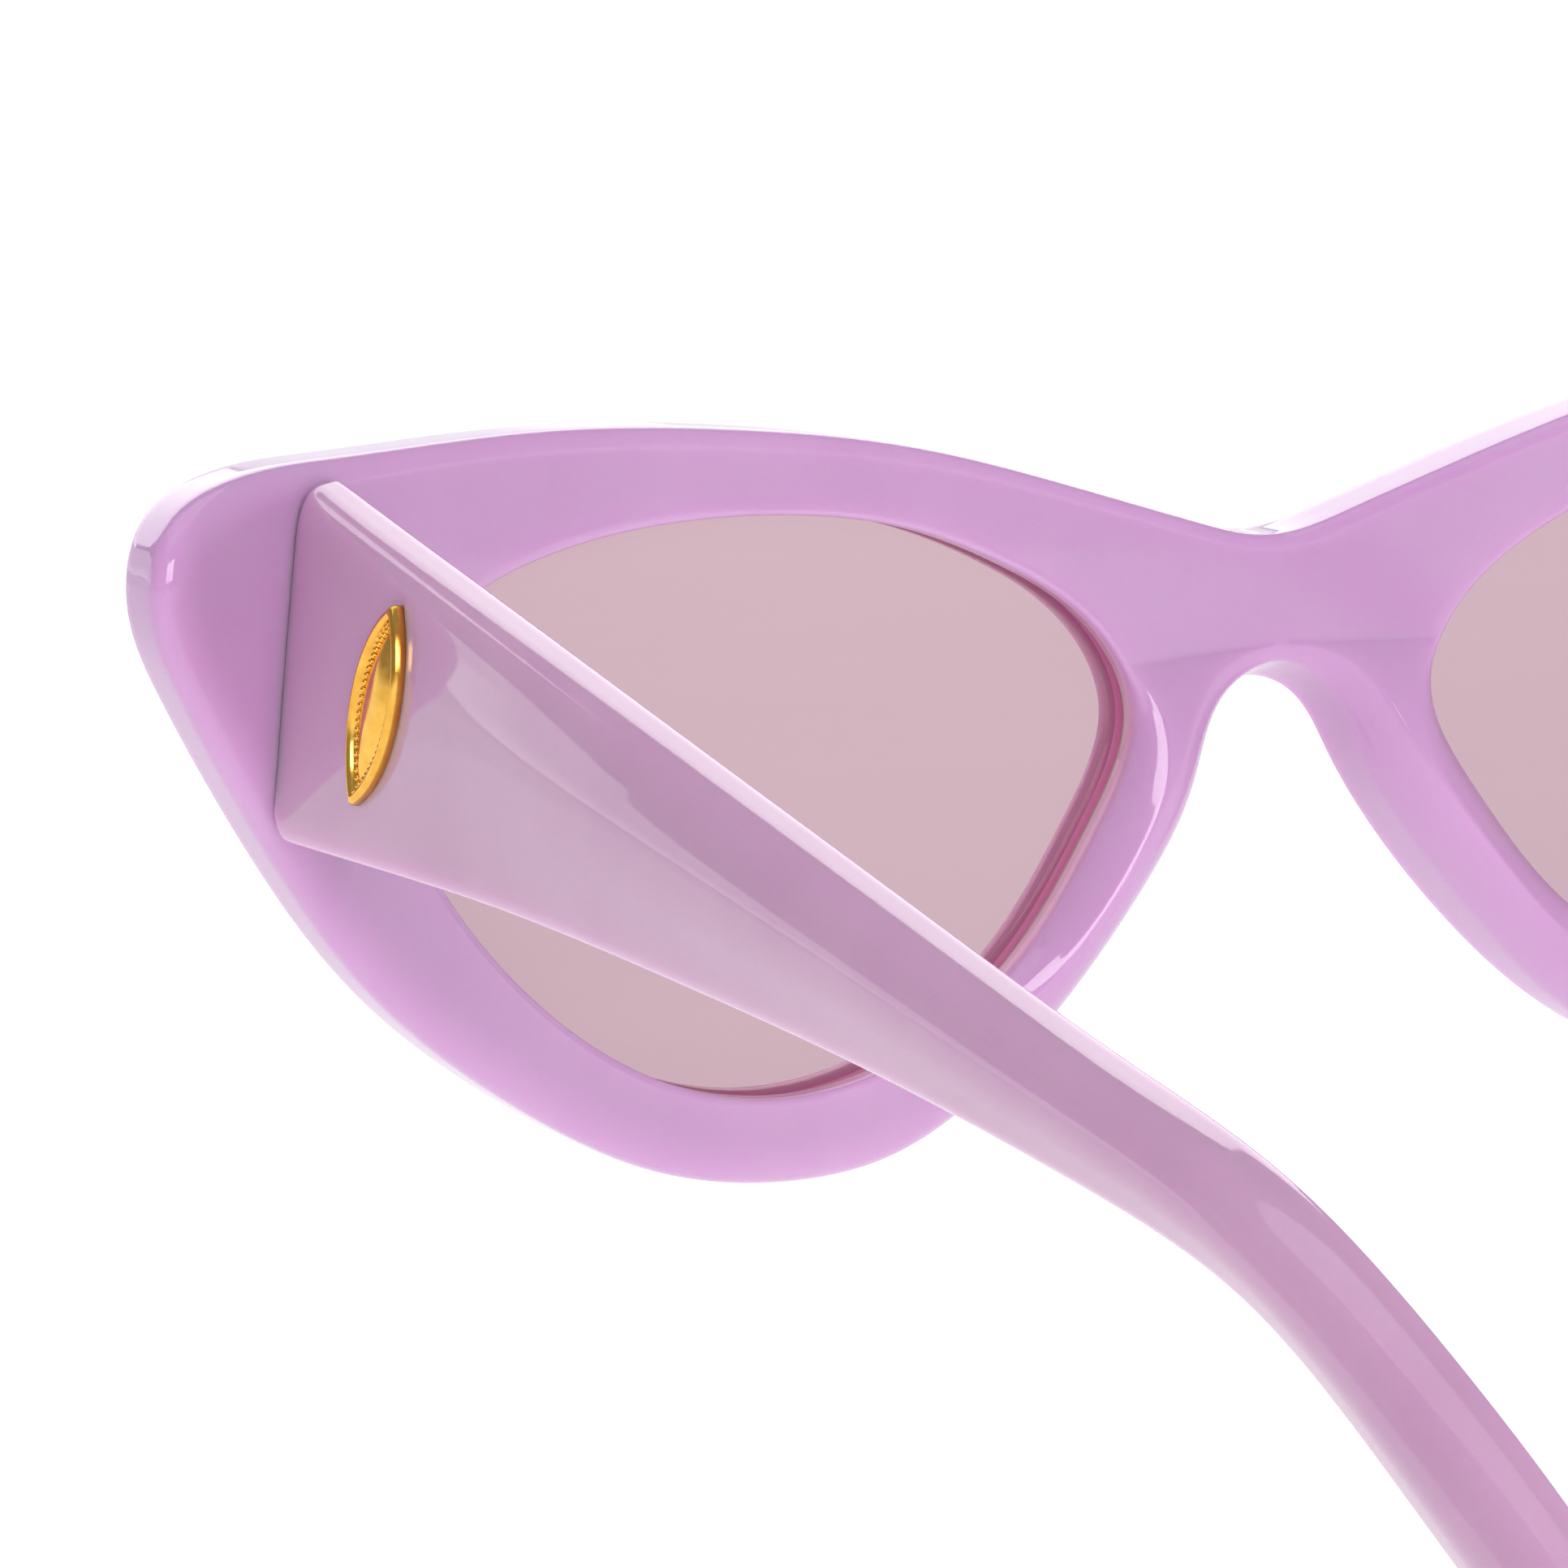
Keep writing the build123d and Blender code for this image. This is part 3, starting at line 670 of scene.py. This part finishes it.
def pointed_oval(inset):
    """Points (along, across) of the oval's outline, moved in by inset."""
    radius = arc_radius - inset
    reach = math.acos(arc_centre / radius)
    angles = np.linspace(-reach, reach, OVAL_STEPS, endpoint=False)
    arc = np.stack([radius * np.sin(angles), radius * np.cos(angles) - arc_centre], axis=1)
    return np.vstack([arc, -arc])


emblem_out = np.array([math.cos(EMBLEM_TILT), 0, math.sin(EMBLEM_TILT)])
emblem_up = np.array([-math.sin(EMBLEM_TILT), 0, math.cos(EMBLEM_TILT)])
emblem_along = emblem_up * math.cos(EMBLEM_LEAN) + np.array([0, math.sin(EMBLEM_LEAN), 0])
emblem_across = np.cross(emblem_out, emblem_along)


def on_emblem(points, height):
    """Points (along, across) of the plaque, height out from the temple's face."""
    flat = points[:, :1] * emblem_along + points[:, 1:] * emblem_across
    return np.array(EMBLEM_PLACE) + flat + emblem_out * height


gilt, shader = new_material("gilt_brass", Metallic=1.0)
add_colours(
    gilt, shader, add_noise(gilt, 900.0),
    (0.3, (0.83, 0.42, 0.06, 1)), (0.7, (0.95, 0.56, 0.11, 1)),
)
links = gilt.node_tree.links
links.new(add_range(gilt, add_noise(gilt, 2500.0), 0.12, 0.22), shader.inputs["Roughness"])
add_bump(gilt, shader, add_noise(gilt, 1800.0, 4.0), 0.00001, 0.3)


def bead_tree(material):
    """Geometry Nodes that set beads of a radius, at a spacing, along a closed line."""
    tree = bpy.data.node_groups.new("beads_along_line", "GeometryNodeTree")
    face = tree.interface
    face.new_socket("Line", in_out="INPUT", socket_type="NodeSocketGeometry")
    for name in ("Radius", "Spacing"):
        face.new_socket(name, in_out="INPUT", socket_type="NodeSocketFloat")
    face.new_socket("Beads", in_out="OUTPUT", socket_type="NodeSocketGeometry")
    make, join = tree.nodes.new, tree.links.new
    given, made = make("NodeGroupInput"), make("NodeGroupOutput")
    curve = make("GeometryNodeMeshToCurve")
    points = make("GeometryNodeCurveToPoints")
    points.mode = "LENGTH"
    bead = make("GeometryNodeMeshIcoSphere")
    bead.inputs["Subdivisions"].default_value = 3
    shaded = make("GeometryNodeSetShadeSmooth")
    place = make("GeometryNodeInstanceOnPoints")
    real = make("GeometryNodeRealizeInstances")
    finish = make("GeometryNodeSetMaterial")
    finish.inputs["Material"].default_value = material
    join(given.outputs["Line"], curve.inputs["Mesh"])
    join(curve.outputs["Curve"], points.inputs["Curve"])
    join(given.outputs["Spacing"], points.inputs["Length"])
    join(given.outputs["Radius"], bead.inputs["Radius"])
    join(bead.outputs["Mesh"], shaded.inputs["Geometry"])
    join(points.outputs["Points"], place.inputs["Points"])
    join(shaded.outputs["Geometry"], place.inputs["Instance"])
    join(place.outputs["Instances"], real.inputs["Geometry"])
    join(real.outputs["Geometry"], finish.inputs["Geometry"])
    join(finish.outputs["Geometry"], made.inputs["Beads"])
    return tree


def grown_on(name, line_points, tree, **inputs):
    """The plain mesh that a tree of Geometry Nodes makes on a closed line."""
    count = len(line_points)
    line = bpy.data.meshes.new(name + "_line")
    places = (np.asarray(line_points) * MM + bridge).tolist()
    line.from_pydata(places, [(i, (i + 1) % count) for i in range(count)], [])
    holder = bpy.data.objects.new(name, line)
    bpy.context.scene.collection.objects.link(holder)
    modifier = holder.modifiers.new("grow", "NODES")
    modifier.node_group = tree
    for item in tree.interface.items_tree:
        if item.name in inputs:
            modifier[item.identifier] = inputs[item.name]
    view = bpy.context.evaluated_depsgraph_get()
    made = bpy.data.meshes.new_from_object(holder.evaluated_get(view))
    holder.modifiers.clear()
    holder.data = made
    made.name = name
    return holder


emblem_rows = [on_emblem(pointed_oval(inset), height) for inset, height in EMBLEM_PROFILE]
emblem_points, emblem_faces = closed_tube(emblem_rows)
bead_line = on_emblem(pointed_oval(BEAD_TRACK[0]), BEAD_TRACK[1])
beads_on_line = bead_tree(gilt)
for side, turn in (("left", np.asarray), ("right", mirrored)):
    plaque = make_mesh(f"emblem_plaque_{side}", turn(emblem_points), emblem_faces, gilt)
    beads = grown_on(
        f"emblem_beads_{side}", turn(bead_line), beads_on_line,
        Radius=BEAD_RADIUS * MM, Spacing=BEAD_SPACING * MM,
    )
    for piece in (plaque, beads):
        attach(piece, f"temple_{side}")
    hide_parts(f"emblem_{side}")

# ---- Hinges, screws and core wires ----
# Five-barrel hinges of nickel silver are let into the acetate and held by two countersunk screws in
# each leaf. A steel screw is the pivot, and a wire in the temple lets its end be bent to fit.
hinge_metal, shader = new_material("nickel_silver_hinge", Metallic=1.0)
add_colours(
    hinge_metal, shader, add_noise(hinge_metal, 700.0, 3.0),
    (0.3, (0.62, 0.60, 0.56, 1)), (0.7, (0.70, 0.68, 0.64, 1)),
)
brushed = add_noise(hinge_metal, 1500.0, 3.0, (1, 1, 12))
links = hinge_metal.node_tree.links
links.new(add_range(hinge_metal, brushed, 0.18, 0.34), shader.inputs["Roughness"])
add_bump(hinge_metal, shader, brushed, 0.00001, 0.35)

screw_steel, shader = new_material("polished_screw_steel", Metallic=1.0)
add_colours(
    screw_steel, shader, add_noise(screw_steel, 1200.0),
    (0.3, (0.66, 0.67, 0.69, 1)), (0.7, (0.74, 0.75, 0.77, 1)),
)
turned = add_noise(screw_steel, 3000.0, 3.0)
links = screw_steel.node_tree.links
links.new(add_range(screw_steel, turned, 0.12, 0.26), shader.inputs["Roughness"])
add_bump(screw_steel, shader, turned, 0.000006, 0.3)

for side in ("left", "right"):
    for kind, material, slot in (
        ("front_hinge_leaf", hinge_metal, "hinge_metal"),
        ("temple_hinge_leaf", hinge_metal, "hinge_metal"),
        ("temple_core_wire", hinge_metal, "nickel_silver"),
        ("front_hinge_fixing_screws", screw_steel, "screw_steel"),
        ("temple_hinge_fixing_screws", screw_steel, "screw_steel"),
        ("hinge_screw", screw_steel, "screw_steel"),
    ):
        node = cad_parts[f"{kind}_{side}"]
        node.data.materials.clear()
        node.data.materials.append(material)

# ---- Studio ----
# The sunglasses stand open on a pale table in a white room, under one large softbox, with three
# smaller ones around them that draw the light lines along their edges.
scene = bpy.context.scene
scene.view_settings.view_transform = "Standard"
world = bpy.data.worlds.new("white_room")
scene.world = world
world.use_nodes = True
sky_nodes, sky_links = world.node_tree.nodes, world.node_tree.links
direction = sky_nodes.new("ShaderNodeTexCoord")
parts_of = sky_nodes.new("ShaderNodeSeparateXYZ")
walls = sky_nodes.new("ShaderNodeValToRGB")
walls.color_ramp.elements[0].position = 0.0
walls.color_ramp.elements[0].color = (1.02, 1.02, 1.02, 1)
walls.color_ramp.elements[1].position = 0.08
walls.color_ramp.elements[1].color = (0.3, 0.3, 0.33, 1)
sky_links.new(direction.outputs["Generated"], parts_of.inputs["Vector"])
sky_links.new(parts_of.outputs["Z"], walls.inputs["Fac"])
sky_links.new(walls.outputs["Color"], sky_nodes["Background"].inputs["Color"])

paper, shader = new_material(
    "lit_white_table", Roughness=0.9, Emission_Color=(1, 1, 1, 1), Emission_Strength=0.85
)
add_colours(
    paper, shader, add_noise(paper, 30.0), (0.3, (0.29, 0.29, 0.29, 1)), (0.7, (0.31, 0.31, 0.31, 1))
)
FLOOR_HALF = 0.8
floor_mesh = bpy.data.meshes.new("floor")
corners = [(-1, -1), (1, -1), (1, 1), (-1, 1)]
floor_mesh.from_pydata([(x * FLOOR_HALF, y * FLOOR_HALF, 0) for x, y in corners], [], [(0, 1, 2, 3)])
floor_mesh.materials.append(paper)
floor = bpy.data.objects.new("floor", floor_mesh)
scene.collection.objects.link(floor)


def softbox(name, place, target, size, power):
    """A rectangular lamp of a size in metres, turned from its place towards target."""
    lamp = bpy.data.lights.new(name, "AREA")
    lamp.shape = "RECTANGLE"
    lamp.size, lamp.size_y = size
    lamp.energy = power
    holder = bpy.data.objects.new(name, lamp)
    holder.location = place
    holder.rotation_euler = (Vector(target) - Vector(place)).to_track_quat("-Z", "Y").to_euler()
    holder.visible_camera = False
    scene.collection.objects.link(holder)


softbox("overhead_softbox", (0.05, 0.0, 0.65), (0, 0, 0), (0.7, 0.7), 1.3)
softbox("far_softbox", (-0.11, -0.72, 0.36), (0, 0, 0.02), (0.9, 0.38), 2.1)
softbox("low_softbox", (0.05, -0.72, 0.11), (0, 0, 0.02), (1.2, 0.12), 0.4)
softbox("near_softbox", (0.18, 0.76, 0.32), (0, 0, 0.02), (0.5, 0.3), 3.2)

CAMERA_AZIMUTH = math.radians(155.359)
CAMERA_HEIGHT_ANGLE = math.radians(7.917)
CAMERA_ROLL = math.radians(-1.961)
CAMERA_FROM_BRIDGE = (231.933, 437.948, 55.636)
CAMERA_LENS = 203.6
SENSOR = 36.0
CLIP_START = 0.02             # in metres

across = Vector((math.cos(CAMERA_AZIMUTH), math.sin(CAMERA_AZIMUTH), 0))
ahead = Vector((
    -math.sin(CAMERA_AZIMUTH) * math.cos(CAMERA_HEIGHT_ANGLE),
    math.cos(CAMERA_AZIMUTH) * math.cos(CAMERA_HEIGHT_ANGLE),
    -math.sin(CAMERA_HEIGHT_ANGLE),
))
upright = across.cross(ahead)
turned_across = across * math.cos(CAMERA_ROLL) + upright * math.sin(CAMERA_ROLL)
turned_up = upright * math.cos(CAMERA_ROLL) - across * math.sin(CAMERA_ROLL)
camera_data = bpy.data.cameras.new("camera")
camera_data.sensor_width = SENSOR
camera_data.lens = CAMERA_LENS
camera_data.clip_start = CLIP_START
camera = bpy.data.objects.new("camera", camera_data)
camera.matrix_world = Matrix.Translation(
    Vector(bridge) + Vector(CAMERA_FROM_BRIDGE) * MM
) @ Matrix((turned_across, turned_up, -ahead)).transposed().to_4x4()
scene.collection.objects.link(camera)
scene.camera = camera
